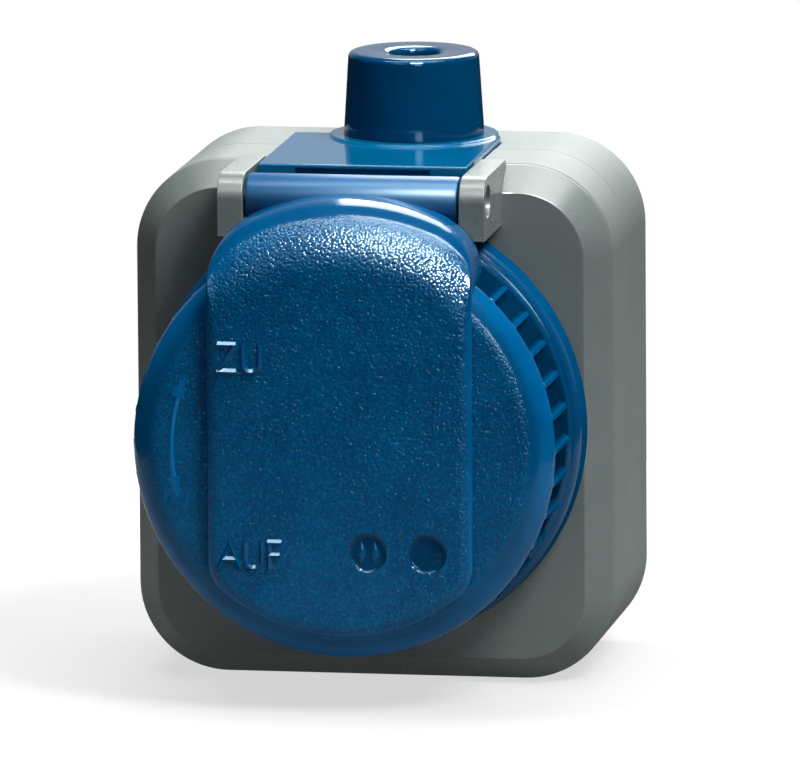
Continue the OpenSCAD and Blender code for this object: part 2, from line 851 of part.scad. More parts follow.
wall_box();
front_cover();
box_gasket();
cable_entry_plate();
gland_cap();
gland_seal();
hinge_pin();
socket_insert();
contact_carrier();
earth_bracket();
live_contact();
neutral_contact();
terminal_clamps();
terminal_screws();
carrier_screws();
insert_screw();
cover_screws();
lid_strap();
locking_ring();
seal_plate();
lid_seal();
pivot_screw();
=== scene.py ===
# %% [markdown]
# # Dressing a weatherproof socket outlet
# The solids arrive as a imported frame: a grey wall box, a hinged lid and a bayonet ring. In this lesson each
# visible moulding gets the soft edges, the grain and the gloss that its mould gave it. Everything is in
# metres, with +Z up, the wall at y = 0 and the lid facing -Y.

# %% Load the frame
import math

import bmesh
import bpy
from mathutils import Matrix, Vector


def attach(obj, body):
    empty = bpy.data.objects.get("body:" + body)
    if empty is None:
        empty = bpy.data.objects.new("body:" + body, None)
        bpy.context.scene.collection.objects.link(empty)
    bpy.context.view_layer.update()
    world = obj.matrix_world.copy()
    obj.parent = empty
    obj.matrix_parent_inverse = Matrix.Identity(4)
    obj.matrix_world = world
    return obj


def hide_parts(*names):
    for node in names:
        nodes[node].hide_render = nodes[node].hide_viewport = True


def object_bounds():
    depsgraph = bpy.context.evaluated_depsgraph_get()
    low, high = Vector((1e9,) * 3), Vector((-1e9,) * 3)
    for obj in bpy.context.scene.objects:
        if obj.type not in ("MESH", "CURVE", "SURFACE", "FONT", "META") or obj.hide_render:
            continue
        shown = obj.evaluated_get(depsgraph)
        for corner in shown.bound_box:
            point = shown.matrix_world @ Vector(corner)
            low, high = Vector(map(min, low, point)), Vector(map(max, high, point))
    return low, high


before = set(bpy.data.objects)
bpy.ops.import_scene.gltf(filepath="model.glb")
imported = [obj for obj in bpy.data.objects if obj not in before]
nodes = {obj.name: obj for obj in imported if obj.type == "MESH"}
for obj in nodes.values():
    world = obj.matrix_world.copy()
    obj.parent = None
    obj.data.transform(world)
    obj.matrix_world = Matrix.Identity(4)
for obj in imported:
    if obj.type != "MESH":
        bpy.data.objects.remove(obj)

cad_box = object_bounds()
print("nodes:", len(nodes), "box:", [tuple(round(c, 4) for c in corner) for corner in cad_box])

# %% [markdown]
# ## The sizes that the looks share
# The mouldings are measured as on a drawing: in millimetres from the socket's axis, with depth counted out
# from the wall. One function turns such a measure into a point of the scene, so no other line has to know
# the frame.

# %% Shared sizes in millimetres
MM = 0.001
HINGE_DEPTH, HINGE_Z = 50.9, 37.0
RING_REAR, RING_FRONT = 39.0, 65.0
STRAP_REAR, STRAP_FRONT, STRAP_TOP_R = 65.3, 67.0, 38.2
GLAND_X, GLAND_DEPTH, GLAND_SEAT = 2.8, 12.6, 41.5


def at(x, z, depth):
    """Point of the scene for x to the right, z up and depth out from the wall, in millimetres."""
    return Vector((x * MM, -depth * MM, z * MM))


def smoothstep(low, high, value):
    """Soft step from 0 at low to 1 at high; low may be the larger of the two."""
    t = min(1.0, max(0.0, (value - low) / (high - low)))
    return t * t * (3 - 2 * t)


print("lid stands", STRAP_FRONT, "mm out from the wall")

# %% [markdown]
# ## Tools for materials
# Colours are written as sRGB hex, the way a colour card gives them, and Blender shades in linear light. Every
# shader tree is grown with one small function that adds a node, sets it and links it.

# %% Colour and node helpers
# A noise keeps mostly between these two values, so the two colours of a mottling are set there.
MOTTLING = (0.3, 0.7)


def linear(hex_colour):
    """Linear RGBA of an sRGB hex colour."""
    channels = [int(hex_colour[i:i + 2], 16) / 255 for i in (1, 3, 5)]
    return [c / 12.92 if c <= 0.04045 else ((c + 0.055) / 1.055) ** 2.4 for c in channels] + [1.0]


def add(tree, kind, settings=None, links=None):
    """Adds a node, sets its properties and sockets, links its inputs, and returns it."""
    node = tree.nodes.new(kind)
    for key, value in (settings or {}).items():
        if isinstance(key, int) or key in node.inputs:
            node.inputs[key].default_value = value
        else:
            setattr(node, key, value)
    for key, socket in (links or {}).items():
        tree.links.new(socket, node.inputs[key])
    return node


def new_material(name):
    """Empty material with a principled shader, and the object's own coordinates to pattern it by."""
    material = bpy.data.materials.new(name)
    material.use_nodes = True
    tree = material.node_tree
    tree.nodes.clear()
    shader = add(tree, "ShaderNodeBsdfPrincipled")
    add(tree, "ShaderNodeOutputMaterial", links={"Surface": shader.outputs[0]})
    place = add(tree, "ShaderNodeTexCoord").outputs["Object"]
    return material, tree, shader, place


def per_metre(size_mm):
    """Scale of a noise whose blots are about size_mm across."""
    return 1 / (size_mm * MM)


print("white reads as", [round(c, 2) for c in linear("#ffffff")])

# %% [markdown]
# ## Grey moulded ABS
# The housing is injection moulded in light grey ABS. Its mould was finely eroded, so the surface is satin:
# broad, soft highlights, a very fine grain and faint cloudiness. The front of the cover is smoother than the
# box behind it, so the roughness falls with the depth from the wall. Noise in the object's own coordinates
# needs no unwrapping and leaves no seams on the rounded corners.

# %% Grey ABS
SATIN_DEPTH, SMOOTH_DEPTH = 32.5, 34.5
SATIN_ROUGH, SMOOTH_ROUGH, GRAIN_ROUGH = 0.5, 0.2, 0.2
grey_abs, tree, shader, place = new_material("grey_abs_satin_moulded")
cloud = add(tree, "ShaderNodeTexNoise", {"Scale": per_metre(14), "Detail": 3.0}, {"Vector": place})
tone = add(tree, "ShaderNodeValToRGB", links={"Fac": cloud.outputs["Fac"]})
for stop, position, colour in zip(tone.color_ramp.elements, MOTTLING, ("#6a7472", "#717b79")):
    stop.position, stop.color = position, linear(colour)
# The eroded grain is about 0.1 mm; it is drawn at 0.35 mm so that it shows in the render.
grain = add(tree, "ShaderNodeTexNoise", {"Scale": per_metre(0.35), "Detail": 2.0}, {"Vector": place})
relief = add(tree, "ShaderNodeBump", {"Strength": 0.25, "Distance": 0.02 * MM},
             {"Height": grain.outputs["Fac"]})
spot = add(tree, "ShaderNodeSeparateXYZ", links={0: place})
satin = add(tree, "ShaderNodeMapRange",
            {"From Min": -SATIN_DEPTH * MM, "From Max": -SMOOTH_DEPTH * MM,
             "To Min": SATIN_ROUGH, "To Max": SMOOTH_ROUGH}, {"Value": spot.outputs["Y"]})
gloss = add(tree, "ShaderNodeMath", {"operation": "MULTIPLY_ADD", 1: GRAIN_ROUGH},
            {0: grain.outputs["Fac"], 2: satin.outputs["Result"]})
shader.inputs["IOR"].default_value = 1.45
tree.links.new(tone.outputs["Color"], shader.inputs["Base Color"])
tree.links.new(gloss.outputs[0], shader.inputs["Roughness"])
tree.links.new(relief.outputs["Normal"], shader.inputs["Normal"])
print("made", grey_abs.name)

# %% [markdown]
# ## Blue grained ABS
# Lid and ring come out of a coarsely eroded mould: tiny pebbles that glitter where they turn towards the
# light, and a fleck of lighter blue between them. Their rims were left polished. So that one material can do
# all of it, each mesh carries three values. Grain is 1 on the eroded faces and 0 on the rims, satin is 1 on
# the barrel, which rubs dull in its lugs, and painted_shading makes a place lighter or darker: it paints
# light on lit edges, rims and marks, and paints shade in pockets and recesses. Pebbles of real shape would
# take millions of faces, so they are a bump.

# %% Blue grained ABS
blue_grain, tree, shader, place = new_material("blue_abs_grained_moulded")
mask, painted_shading, satin = [add(tree, "ShaderNodeAttribute", {"attribute_name": key}).outputs["Fac"]
                     for key in ("grain", "painted_shading", "satin")]
# The pebbles are about 0.25 mm; they are drawn at 0.45 mm so that single glints show in the render. A pebble
# is round on top because its height falls with the square of the distance from its middle.
cell = add(tree, "ShaderNodeTexVoronoi", {"Scale": per_metre(0.45)}, {"Vector": place}).outputs["Distance"]
pebble = add(tree, "ShaderNodeMath", {"operation": "MULTIPLY"}, {0: cell, 1: cell})
pebble = add(tree, "ShaderNodeMath", {"operation": "SUBTRACT", 0: 1.0}, {1: pebble.outputs[0]}).outputs[0]
relief = add(tree, "ShaderNodeBump", {"Distance": 0.095 * MM}, {"Height": pebble, "Strength": mask})
cloud = add(tree, "ShaderNodeTexNoise", {"Scale": per_metre(9), "Detail": 4.0}, {"Vector": place})
blot = add(tree, "ShaderNodeMath", {"operation": "MULTIPLY_ADD", 1: 0.5, 2: 0.2}, {0: cloud.outputs["Fac"]})
fleck = add(tree, "ShaderNodeTexNoise", {"Scale": per_metre(0.4), "Detail": 1.0}, {"Vector": place})
fleck = add(tree, "ShaderNodeMapRange", {"From Min": 0.45, "From Max": 0.8}, {"Value": fleck.outputs["Fac"]})
fleck = add(tree, "ShaderNodeMath", {"operation": "MULTIPLY"}, {0: fleck.outputs["Result"], 1: mask})
fleck = add(tree, "ShaderNodeMath", {"operation": "MULTIPLY_ADD", 1: 0.5},
            {0: fleck.outputs[0], 2: blot.outputs[0]})
tone = add(tree, "ShaderNodeValToRGB", links={"Fac": fleck.outputs[0]})
for stop, position, colour in zip(tone.color_ramp.elements, (0.4, 1.0), ("#004c7d", "#006ca4")):
    stop.position, stop.color = position, linear(colour)
# painted_shading raises or lowers the colour's value: painted light on lit edges and rims, painted shade in
# pockets and recesses.
painted_level = add(tree, "ShaderNodeMath", {"operation": "ADD", 1: 1.0}, {0: painted_shading})
tone = add(tree, "ShaderNodeHueSaturation",
           links={"Color": tone.outputs["Color"], "Value": painted_level.outputs[0]})
gloss = add(tree, "ShaderNodeMath", {"operation": "MULTIPLY_ADD", 1: -0.02, 2: 0.12}, {0: mask})
gloss = add(tree, "ShaderNodeMath", {"operation": "MULTIPLY_ADD", 1: 0.25}, {0: satin, 2: gloss.outputs[0]})
shader.inputs["IOR"].default_value = 1.46
shader.inputs["Specular Tint"].default_value = linear("#c8ecff")
tree.links.new(tone.outputs["Color"], shader.inputs["Base Color"])
tree.links.new(gloss.outputs[0], shader.inputs["Roughness"])
tree.links.new(relief.outputs["Normal"], shader.inputs["Normal"])
print("made", blue_grain.name)

# %% [markdown]
# ### The same blue without its gloss
# The pockets between the ribs and the edge of the flange are where no polishing tool reached into the mould,
# so they are matt and mirror nothing. A copy of the blue with its mirror turned off gives that, and keeps the
# colour the same.

# %% Blue matt ABS
blue_matt = blue_grain.copy()
blue_matt.name = "blue_abs_matt_moulded"
blue_matt.node_tree.nodes[shader.name].inputs["Specular IOR Level"].default_value = 0.0
print("made", blue_matt.name)

# %% [markdown]
# ## Finishes with one recipe
# The entry plate and the gland come from polished moulds: blue ABS with a mirror-like skin that waves a
# little where the plastic shrank. They are one plastic, but the plate's copy is painted lighter, a painted
# highlight for the light on its top, and the gland's copy is painted darker, a painted shade for its front.
# The hinge pin is steel, coloured near black to paint the shade in the lug's hole. The rest shows when the
# lid is open: the insert and the seal plate are ivory thermoplastic, the carrier is brown phenolic, the seals
# are black rubber, and the metal is rolled brass and zinc-plated steel. They differ in colour, gloss and
# grain, not in how they are built up, so one recipe makes them all: a mottled colour, a roughness that
# follows it and a fine relief.


# %% Mottled finishes
def mottled(name, colours, blot_mm, relief_mm, rough, ior=1.5, metallic=0.0, tint="#ffffff",
            details=(4.0, 2.0), bump_strength=0.2, bump_mm=0.03):
    """Material with blots between two colours, a roughness that follows them and a finer relief."""
    material, tree, shader, place = new_material(name)
    cloud = add(tree, "ShaderNodeTexNoise", {"Scale": per_metre(blot_mm), "Detail": details[0]},
                {"Vector": place})
    tone = add(tree, "ShaderNodeValToRGB", links={"Fac": cloud.outputs["Fac"]})
    for stop, position, colour in zip(tone.color_ramp.elements, MOTTLING, colours):
        stop.position, stop.color = position, linear(colour)
    fine = add(tree, "ShaderNodeTexNoise", {"Scale": per_metre(relief_mm), "Detail": details[1]},
               {"Vector": place})
    relief = add(tree, "ShaderNodeBump", {"Strength": bump_strength, "Distance": bump_mm * MM},
                 {"Height": fine.outputs["Fac"]})
    gloss = add(tree, "ShaderNodeMapRange", {"To Min": rough[0], "To Max": rough[1]},
                {"Value": cloud.outputs["Fac"]})
    shader.inputs["Metallic"].default_value = metallic
    shader.inputs["IOR"].default_value = ior
    shader.inputs["Specular Tint"].default_value = linear(tint)
    tree.links.new(tone.outputs["Color"], shader.inputs["Base Color"])
    tree.links.new(gloss.outputs["Result"], shader.inputs["Roughness"])
    tree.links.new(relief.outputs["Normal"], shader.inputs["Normal"])
    print("made", name)
    return material


POLISHED = dict(blot_mm=12, relief_mm=6, rough=(0.06, 0.12), ior=1.42, tint="#b4e6ff", details=(3.0, 1.0),
                bump_strength=0.15, bump_mm=0.06)
# The gland's copy is painted darker, a painted shade; the plate's copy is painted lighter, a painted
# highlight.
blue_gloss_painted_shade = mottled("blue_abs_polished_gland_painted_shade", ("#003a60", "#004168"), **POLISHED)
blue_gloss_painted_light = mottled("blue_abs_polished_plate_painted_light", ("#00567f", "#005d88"), **POLISHED)
ivory = mottled("ivory_thermoplastic_moulded", ("#c9c5b6", "#d6d2c4"), 10, 0.4, (0.3, 0.42))
phenolic = mottled("brown_phenolic_moulded", ("#3a2a20", "#473428"), 5, 0.5, (0.32, 0.45), ior=1.6)
rubber = mottled("black_nitrile_rubber", ("#17181a", "#212224"), 4, 0.3, (0.6, 0.75))
brass = mottled("rolled_brass_strip", ("#b08d46", "#c7a55c"), 3, 0.6, (0.24, 0.4), metallic=1.0)
# The pin's near-black colour paints the shade in the lug's hole.
pin_steel_painted_dark = mottled("pin_steel_painted_shade", ("#1c1f21", "#2a2d30"), 3, 0.5, (0.4, 0.55), metallic=1.0)
steel = mottled("zinc_plated_steel", ("#a3a6a9", "#bdc0c2"), 3, 0.5, (0.26, 0.42), metallic=1.0)

# %% [markdown]
# ## Dressing the solids that keep their shape
# The box, the cover and the plate are right as solids, but a solid's edges are razor sharp and no mould makes
# those. A bevel modifier rounds each edge by a few tenths of a millimetre, after a weld and a planar dissolve
# have turned the triangles back into faces. The solid's own mesh stays as it is.

# %% Rounded edges for the solids
WELD_MM, FLAT_ANGLE, EDGE_ANGLE = 0.002, math.radians(0.5), math.radians(28)
EDGE_SEGMENTS, FLAT_WEIGHT = 3, 80


def soften(name, width_mm):
    """Rounds the edges of a solid with modifiers."""
    piece = nodes[name]
    piece.data.shade_smooth()
    weld = piece.modifiers.new("weld", "WELD")
    weld.merge_threshold = WELD_MM * MM
    faces = piece.modifiers.new("faces", "DECIMATE")
    faces.decimate_type = "DISSOLVE"
    faces.angle_limit = FLAT_ANGLE
    edge = piece.modifiers.new("edge", "BEVEL")
    edge.width = width_mm * MM
    edge.segments = EDGE_SEGMENTS
    edge.limit_method = "ANGLE"
    edge.angle_limit = EDGE_ANGLE
    edge.use_clamp_overlap = False
    flat = piece.modifiers.new("flat", "WEIGHTED_NORMAL")
    flat.mode = "FACE_AREA"
    flat.weight = FLAT_WEIGHT
    print("softened", name, "by", width_mm, "mm")


def dress(material, *names):
    """Gives one material to each of the named solids."""
    for name in names:
        nodes[name].data.materials.clear()
        nodes[name].data.materials.append(material)
    print(material.name, "on", len(names), "nodes")


dress(grey_abs, "wall_box", "front_cover")
dress(blue_gloss_painted_light, "cable_entry_plate")
dress(ivory, "socket_insert", "seal_plate")
dress(phenolic, "contact_carrier")
dress(rubber, "box_gasket", "gland_seal", "lid_seal")
dress(brass, "earth_bracket", "live_contact", "neutral_contact")
dress(pin_steel_painted_dark, "hinge_pin")
dress(steel, "terminal_clamps", "terminal_screws", "carrier_screws", "insert_screw", "cover_screws",
      "pivot_screw")
soften("wall_box", 0.3)
soften("front_cover", 0.18)
soften("cable_entry_plate", 0.3)

# %% [markdown]
# ## Meshes built one by one
# The lid's mouldings are made as loops of points that are joined into skins. A turned piece is one section
# swept round an axis, and the strap is a stack of outlines. One function makes the object and hands it to its
# body.

# %% Mesh helpers
DOUBLES_MM, SHARP_ANGLE = 0.0015, math.radians(38)


def finish_piece(name, mesh, material, body, replaced=()):
    """Object for a finished bmesh, smooth shaded, riding on its body."""
    bmesh.ops.remove_doubles(mesh, verts=mesh.verts, dist=DOUBLES_MM * MM)
    bmesh.ops.recalc_face_normals(mesh, faces=mesh.faces)
    data = bpy.data.meshes.new(name)
    mesh.to_mesh(data)
    mesh.free()
    data.shade_smooth()
    data.set_sharp_from_angle(angle=SHARP_ANGLE)
    data.materials.append(material)
    piece = bpy.data.objects.new(name, data)
    bpy.context.scene.collection.objects.link(piece)
    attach(piece, body)
    for node in replaced:
        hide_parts(node)
    print("made", name, "faces:", len(data.polygons))
    return piece


def skin(mesh, loops, closed_stack=False):
    """Joins loops of equal length, each closed on itself, into a skin of quads."""
    for low, high in zip(loops, loops[1:] + (loops[:1] if closed_stack else [])):
        for i in range(len(low)):
            j = (i + 1) % len(low)
            mesh.faces.new((low[i], low[j], high[j], high[i]))


def turned(mesh, section, steps, point):
    """Sweeps a closed section round an axis; point places a radius, a height and an angle."""
    loops = [[mesh.verts.new(point(r, h, 2 * math.pi * k / steps)) for r, h in section] for k in range(steps)]
    skin(mesh, loops, closed_stack=True)
    return loops


def set_all(verts, layer, value):
    """Gives each vertex the same value."""
    for vert in verts:
        vert[layer] = value


print("helpers ready")

# %% [markdown]
# ## The locking ring
# The ring is a turned moulding: a rounded flange at the back, a band with grip ribs, a broad rounded shoulder
# and a flat front. Ribs could be joined on one by one, but then each would need its own clean seam. Here the
# section is drawn once and swept round the socket's axis, and the ribs are raised while it is swept, so each
# rib is real shape in one skin.

# %% Section of the ring
RIBS, RIB_STEPS, RIB_SHARE, RIB_REAR, RIB_RUNOUT = 40, 16, 0.21, 49.0, 0.7
BAND_R, SHOULDER_R, SHOULDER_ROUND = 32.2, 33.2, 5.0
RING_BORE_R, SKIRT_R, EDGE_CUT, RING_ROOF = 8.05, 30.0, 0.3, 62.0
POCKET_TOP, POCKET_FULL = 61.7, 60.8
FLANGE_MIDDLE, FLANGE_ROUND = (33.1, 41.3), (1.3, 4.0)
# Share of the shoulder's width over which the grain runs out
GRAIN_ENDS = (0.12, 0.42)


def shoulder_radius(depth):
    """Radius of the shoulder at a depth, round near the front and straight behind."""
    past_round = max(0.0, depth - (RING_FRONT - SHOULDER_ROUND))
    return SHOULDER_R - SHOULDER_ROUND + math.sqrt(SHOULDER_ROUND ** 2 - past_round ** 2)


def ring_section():
    """Closed section of the ring between two ribs: radius, depth, rib height, share of grain."""
    points = [(RING_BORE_R, RING_FRONT - EDGE_CUT, 0, 1)]
    points += [(radius, RING_FRONT, 0, 1) for radius in (RING_BORE_R + EDGE_CUT, 14.0, 20.0, 27.6)]
    for degrees in range(90, 15, -5):
        t = math.radians(degrees)
        points.append((SHOULDER_R - SHOULDER_ROUND * (1 - math.cos(t)),
                       RING_FRONT - SHOULDER_ROUND * (1 - math.sin(t)),
                       0, 1 - smoothstep(*GRAIN_ENDS, math.cos(t))))
    for depth in (61.6, 61.5, 61.4, 61.3, 61.2, 61.1, 61.0, 60.9, 60.6, 60.3, 60.0, 56.0, 52.5):
        groove = (shoulder_radius(depth) - BAND_R) * smoothstep(POCKET_TOP, POCKET_FULL, depth)
        points.append((shoulder_radius(depth) - groove, depth, groove, 0))
    for depth in (49.7, 49.5, 49.3, 49.1, 49.0, 47.0, 46.1):
        rise = (SHOULDER_R - BAND_R) * smoothstep(RIB_REAR, RIB_REAR + RIB_RUNOUT, depth)
        points.append((BAND_R, depth, rise, 0))
    flange = [(32.76, 45.65), (32.9, 45.38)]
    for degrees in range(0, 91, 9):
        t = math.radians(degrees)
        flange.append((FLANGE_MIDDLE[0] + FLANGE_ROUND[0] * math.sin(t),
                       FLANGE_MIDDLE[1] + FLANGE_ROUND[1] * math.cos(t)))
    flange += [(34.4, 39.6), (34.3, 39.2), (33.9, RING_REAR)]
    inside = [(30.4, RING_REAR), (30.1, 39.1), (SKIRT_R, 39.4), (SKIRT_R, 61.4), (29.4, RING_ROOF),
              (RING_BORE_R + EDGE_CUT, RING_ROOF), (RING_BORE_R, RING_ROOF + EDGE_CUT)]
    return points + [(radius, depth, 0, 0) for radius, depth in flange + inside]


section = ring_section()
print("points of the section:", len(section))

# %% [markdown]
# ### Sweeping the ring
# Light is painted on the rim of the face, where the shoulder catches it, and shade is painted in the pockets
# between the ribs and on the flange. Both go into the mesh as the value called painted_shading, and the faces
# of the pockets and ribs take the matt blue. Two bayonet tabs stand inside the skirt.

# %% Locking ring
TAB_ANGLES, TAB_HALF, TAB_R, TAB_DEPTH = (0.0, 220.0), 10.0, (25.0, 30.2), (40.0, 42.2)
FLANGE_TOP, MATT_TOP, POCKET_R, FLANGE_EDGE_R = 46.0, 61.2, (31.0, 33.4), 34.15
# Painted light on the rim of the face and on the rib tops, painted shade in the pockets and on the flange
RIM_R, RIM_LIGHT, POCKET_SHADE, RIB_LIGHT, FLANGE_SHADE = (30.2, 31.6), 0.3, -0.72, 0.6, -0.2


def rib_shape(turn):
    """Height of the ribs, from 0 to 1, at a turn counted in ribs."""
    away = abs((turn + 0.5) % 1.0 - 0.5)
    return 1 - smoothstep(RIB_SHARE * 0.3, RIB_SHARE * 0.75, away)


def ring_painted_shading(radius, depth, rib):
    """Painted light at the rim of the face, painted shade in the pockets between the ribs and on the flange.
    """
    if depth > POCKET_TOP:
        return RIM_LIGHT * smoothstep(*RIM_R, radius)
    if radius < POCKET_R[0]:
        return 0.0
    band = RIB_LIGHT * rib + POCKET_SHADE if depth > FLANGE_TOP else FLANGE_SHADE
    return band * smoothstep(POCKET_TOP, POCKET_FULL, depth)


def turned_sector(mesh, radii, depths, start, end, steps=12):
    """Closed block between two radii, two depths and two angles."""
    corners = ((radii[0], depths[0]), (radii[1], depths[0]), (radii[1], depths[1]), (radii[0], depths[1]))
    loops = []
    for k in range(steps + 1):
        a = math.radians(start + (end - start) * k / steps)
        loops.append([mesh.verts.new(at(r * math.cos(a), r * math.sin(a), depth)) for r, depth in corners])
    skin(mesh, loops)
    mesh.faces.new(loops[0])
    mesh.faces.new(loops[-1])


mesh = bmesh.new()
grain_of, shading_of = [mesh.verts.layers.float.new(key) for key in ("grain", "painted_shading")]
loops = []
for k in range(RIBS * RIB_STEPS):
    a = 2 * math.pi * k / (RIBS * RIB_STEPS)
    rib = rib_shape(k / RIB_STEPS)
    loop = []
    for radius, depth, height, grain_share in section:
        r = radius + height * rib
        vert = mesh.verts.new(at(r * math.cos(a), r * math.sin(a), depth))
        vert[grain_of] = grain_share
        vert[shading_of] = ring_painted_shading(radius, depth, rib * (height > 0))
        loop.append(vert)
    loops.append(loop)
skin(mesh, loops, closed_stack=True)
for angle in TAB_ANGLES:
    turned_sector(mesh, TAB_R, TAB_DEPTH, angle - TAB_HALF, angle + TAB_HALF)
for face in mesh.faces:
    middle = face.calc_center_median() / MM
    radius = math.hypot(middle.x, middle.z)
    in_pocket = FLANGE_TOP < -middle.y < MATT_TOP and POCKET_R[0] < radius < POCKET_R[1]
    face.material_index = 1 if in_pocket or radius > FLANGE_EDGE_R else 0
ring = finish_piece("ribbed_locking_ring", mesh, blue_grain, "ring", ["locking_ring"])
ring.data.materials.append(blue_matt)

# %% [markdown]
# ## The lid strap
# The strap is the raised plate across the ring. Seen from the front it has straight sides, a wide arc at
# the top and a tighter one at the bottom. Its edges are small rounds, except at the top, where the face
# bends back in a broad curve and runs over the ring's shoulder as a hood. A bevel has one width all round,
# so it could not make that. Outlines with the same count of points, one for the outer edge and one for the
# flat face, are blended into a stack instead, which gives the change of rounding for free.

# %% Outline of the strap
ARC_STEPS, ROUND_STEPS, SIDE_STEPS = 48, 16, 24


def strap_outline(half, top_r, top_round, bottom_r, bottom_round):
    """Closed outline, counter-clockwise from the right end of the top arc."""
    top = (half - top_round, math.sqrt((top_r - top_round) ** 2 - (half - top_round) ** 2))
    low = (half - bottom_round, math.sqrt((bottom_r - bottom_round) ** 2 - (half - bottom_round) ** 2))
    top_start, low_start = math.atan2(top[1], top[0]), math.atan2(low[1], low[0])

    def arc(centre, radius, start, end, count):
        angles = [start + (end - start) * i / count for i in range(count)]
        return [(centre[0] + radius * math.cos(a), centre[1] + radius * math.sin(a)) for a in angles]

    def side(x, start, end):
        return [(x, start + (end - start) * i / SIDE_STEPS) for i in range(SIDE_STEPS)]

    return (arc((0, 0), top_r, top_start, math.pi - top_start, ARC_STEPS)
            + arc((-top[0], top[1]), top_round, math.pi - top_start, math.pi, ROUND_STEPS)
            + side(-half, top[1], -low[1])
            + arc((-low[0], -low[1]), bottom_round, math.pi, math.pi + low_start, ROUND_STEPS)
            + arc((0, 0), bottom_r, math.pi + low_start, 2 * math.pi - low_start, ARC_STEPS)
            + arc((low[0], -low[1]), bottom_round, 2 * math.pi - low_start, 2 * math.pi, ROUND_STEPS)
            + side(half, -low[1], top[1])
            + arc(top, top_round, 0, top_start, ROUND_STEPS))


outer = strap_outline(half=20.7, top_r=STRAP_TOP_R, top_round=9.5, bottom_r=29.0, bottom_round=6.5)
inner = strap_outline(half=18.7, top_r=28.0, top_round=6.0, bottom_r=27.0, bottom_round=4.5)
flat = strap_outline(half=18.0, top_r=27.3, top_round=5.3, bottom_r=26.3, bottom_round=3.8)
print("outline points:", len(outer))

# %% [markdown]
# ### Stacking the outlines
# The depth that the edge round takes is small at the sides and large at the top, so it follows each point's
# height. The stack starts at the rear face, goes round the rear edge and ends at the flat front.

# %% Strap stack
SIDE_ROUND, TOP_ROUND, ROUND_LAYERS = 1.5, 9.2, 14
HOOD_REAR, HOOD_NECK, HOOD_IN_R, HOOD_ROOF, HOOD_FLOOR_R = 55.3, 54.2, 33.8, 63.7, 29.8
REAR_EDGE, REAR_INSET, EDGE_LIGHT = 0.25, 0.15, 0.3
# Ranges in millimetres over which one form runs into the next
ROUND_GROWS, HOOD_STARTS, NECK_ENDS, EDGE_LIGHT_FADES = (25.0, 35.0), (25.2, 26.8), (14.5, 16.0), (20.0, 28.0)
# Points of the rear, as shares of the way out to the outline
LINING_SHARE, REAR_SHARE = 0.985, 0.97


def edge_depth(z):
    """How far back the edge round reaches at a height on the outer outline."""
    return SIDE_ROUND + (TOP_ROUND - SIDE_ROUND) * smoothstep(*ROUND_GROWS, z)


def rear_depth(x, z):
    """Depth of the strap's rear edge: far back under the hood, shallow elsewhere."""
    hood = smoothstep(*HOOD_STARTS, z)
    neck = 1 - smoothstep(*NECK_ENDS, abs(x))
    return STRAP_REAR + (HOOD_REAR + (HOOD_NECK - HOOD_REAR) * neck - STRAP_REAR) * hood


def hood_inside(x, z):
    """Points of the lining and of the rear face below a point of the outline, as (x, z, depth)."""
    r = math.hypot(x, z)
    lining, rear, roof = LINING_SHARE, REAR_SHARE, STRAP_REAR
    if z >= 0 and r > HOOD_IN_R + 0.2:
        lining, rear, roof = HOOD_IN_R / r, HOOD_FLOOR_R / r, HOOD_ROOF
    return (x * lining, z * lining, roof), (x * rear, z * rear, STRAP_REAR)


mesh = bmesh.new()
grain_of, shading_of, satin_of = [mesh.verts.layers.float.new(key) for key in ("grain", "painted_shading", "satin")]
lining, rear_face = zip(*[hood_inside(x, z) for x, z in outer])
stack = [rear_face, lining,
         [(xi, zi, rear_depth(x, z) + REAR_EDGE) for (xi, zi, _), (x, z) in zip(lining, outer)],
         [(x + (xi - x) * REAR_INSET, z + (zi - z) * REAR_INSET, rear_depth(x, z))
          for (xi, zi, _), (x, z) in zip(lining, outer)],
         [(x, z, rear_depth(x, z) + REAR_EDGE) for x, z in outer]]
loops = [[mesh.verts.new(at(*point)) for point in layer] for layer in stack]
for k in range(ROUND_LAYERS + 1):
    t = math.pi / 2 * k / ROUND_LAYERS
    out = math.cos(t)
    loop = []
    for (xo, zo), (xi, zi) in zip(outer, inner):
        depth = STRAP_FRONT - edge_depth(zo) * (1 - math.sin(t))
        vert = mesh.verts.new(at(xi + (xo - xi) * out, zi + (zo - zi) * out, depth))
        vert[grain_of] = 1 - smoothstep(0.7, 0.84, out)
        # The rounded edges at the sides are painted lighter, a painted highlight; the edge at the top is
        # painted a little darker, a painted shade.
        vert[shading_of] = EDGE_LIGHT * (1 - vert[grain_of]) * (1 - 1.5 * smoothstep(*EDGE_LIGHT_FADES, zo))
        loop.append(vert)
    loops.append(loop)
loops.append([mesh.verts.new(at(x, z, STRAP_FRONT)) for x, z in flat])
set_all(loops[-1], grain_of, 1.0)
skin(mesh, loops)
mesh.faces.new(loops[0])
print("strap skin faces:", len(mesh.faces))

# %% [markdown]
# ### Two round recesses
# The flat face has two shallow round recesses, one for a mark and one left bare. A boolean would cut them,
# but leave a ragged edge in a fine mesh. So each is a small stack of rings, the rim, the wall and the floor,
# and the rest of the face is filled between the outline and the rims.

# %% Recesses and front face
RECESS_AT, RECESS_R, RECESS_DEPTH, RECESS_STEPS = ((4.5, -15.5), (13.8, -15.5)), 2.95, 0.5, 48
RECESS_GRAIN, RECESS_SHADE = 0.3, -0.35
# Change of radius and depth below the face, from the rim to the floor
RECESS_RINGS = ((0.5, 0), (0.12, 0), (0, 0.1), (-0.06, RECESS_DEPTH - 0.1), (-0.25, RECESS_DEPTH),
                (-0.6, RECESS_DEPTH))


def edges_of(loop):
    """Edges along a closed loop of vertices."""
    return [mesh.edges.get(pair) for pair in zip(loop, loop[1:] + loop[:1])]


